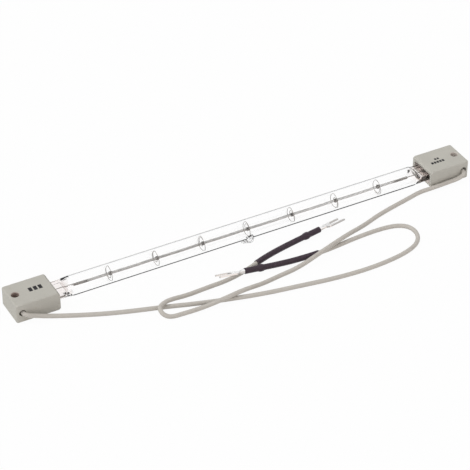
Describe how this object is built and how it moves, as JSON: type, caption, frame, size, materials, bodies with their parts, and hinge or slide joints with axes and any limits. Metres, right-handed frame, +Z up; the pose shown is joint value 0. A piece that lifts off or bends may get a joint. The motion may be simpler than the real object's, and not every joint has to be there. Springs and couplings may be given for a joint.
{
  "type": "quartz heating tube with ceramic end caps and fork-lug leads",
  "caption": "Quartz infrared heating tube: a clear tube with a coiled filament on wire supports, ceramic end caps, and insulated leads with sleeved fork lugs.",
  "frame": {"origin": "on the surface that the lamp lies on, midway between the end caps and under the tube's axis", "axes": "+X along the tube, from the end whose lead makes the wide loop to the other end, +Z up, leads on the -Y side"},
  "size_m": [0.2516, 0.0612, 0.0102],
  "materials": {
    "quartz": "clear fused quartz, polished by the flame",
    "tungsten": "drawn grey wire",
    "molybdenum": "dull grey foil and wire",
    "steatite": "unglazed pressed steatite, fine grain",
    "cement": "rough high-temperature cement",
    "tinned_metal": "bright tin plating",
    "nickel_wire": "drawn nickel-plated wire",
    "lead_insulation": "matt pale grey-beige silicone insulation",
    "sleeve": "dark heat-resistant sleeve, satin"
  },
  "bodies": {
    "root": {"quartz_tube": "quartz", "filament_coil": "tungsten", "coil_support_1": "tungsten", "coil_support_2": "tungsten", "coil_support_3": "tungsten", "coil_support_4": "tungsten", "coil_support_5": "tungsten", "coil_support_6": "tungsten", "coil_support_7": "tungsten", "left_inner_pin": "tungsten", "right_inner_pin": "tungsten", "left_sealing_foil": "molybdenum", "right_sealing_foil": "molybdenum", "left_outer_pin": "molybdenum", "right_outer_pin": "molybdenum", "left_ceramic_cap": "steatite", "right_ceramic_cap": "steatite", "left_cement": "cement", "right_cement": "cement", "left_splice": "tinned_metal", "right_splice": "tinned_metal", "left_lead_core": "nickel_wire", "right_lead_core": "nickel_wire", "left_core_end": "nickel_wire", "right_core_end": "nickel_wire", "left_lead": "lead_insulation", "right_lead": "lead_insulation", "left_fork_lug": "tinned_metal", "right_fork_lug": "tinned_metal", "left_sleeve": "sleeve", "right_sleeve": "sleeve"}
  },
  "joints": []
}
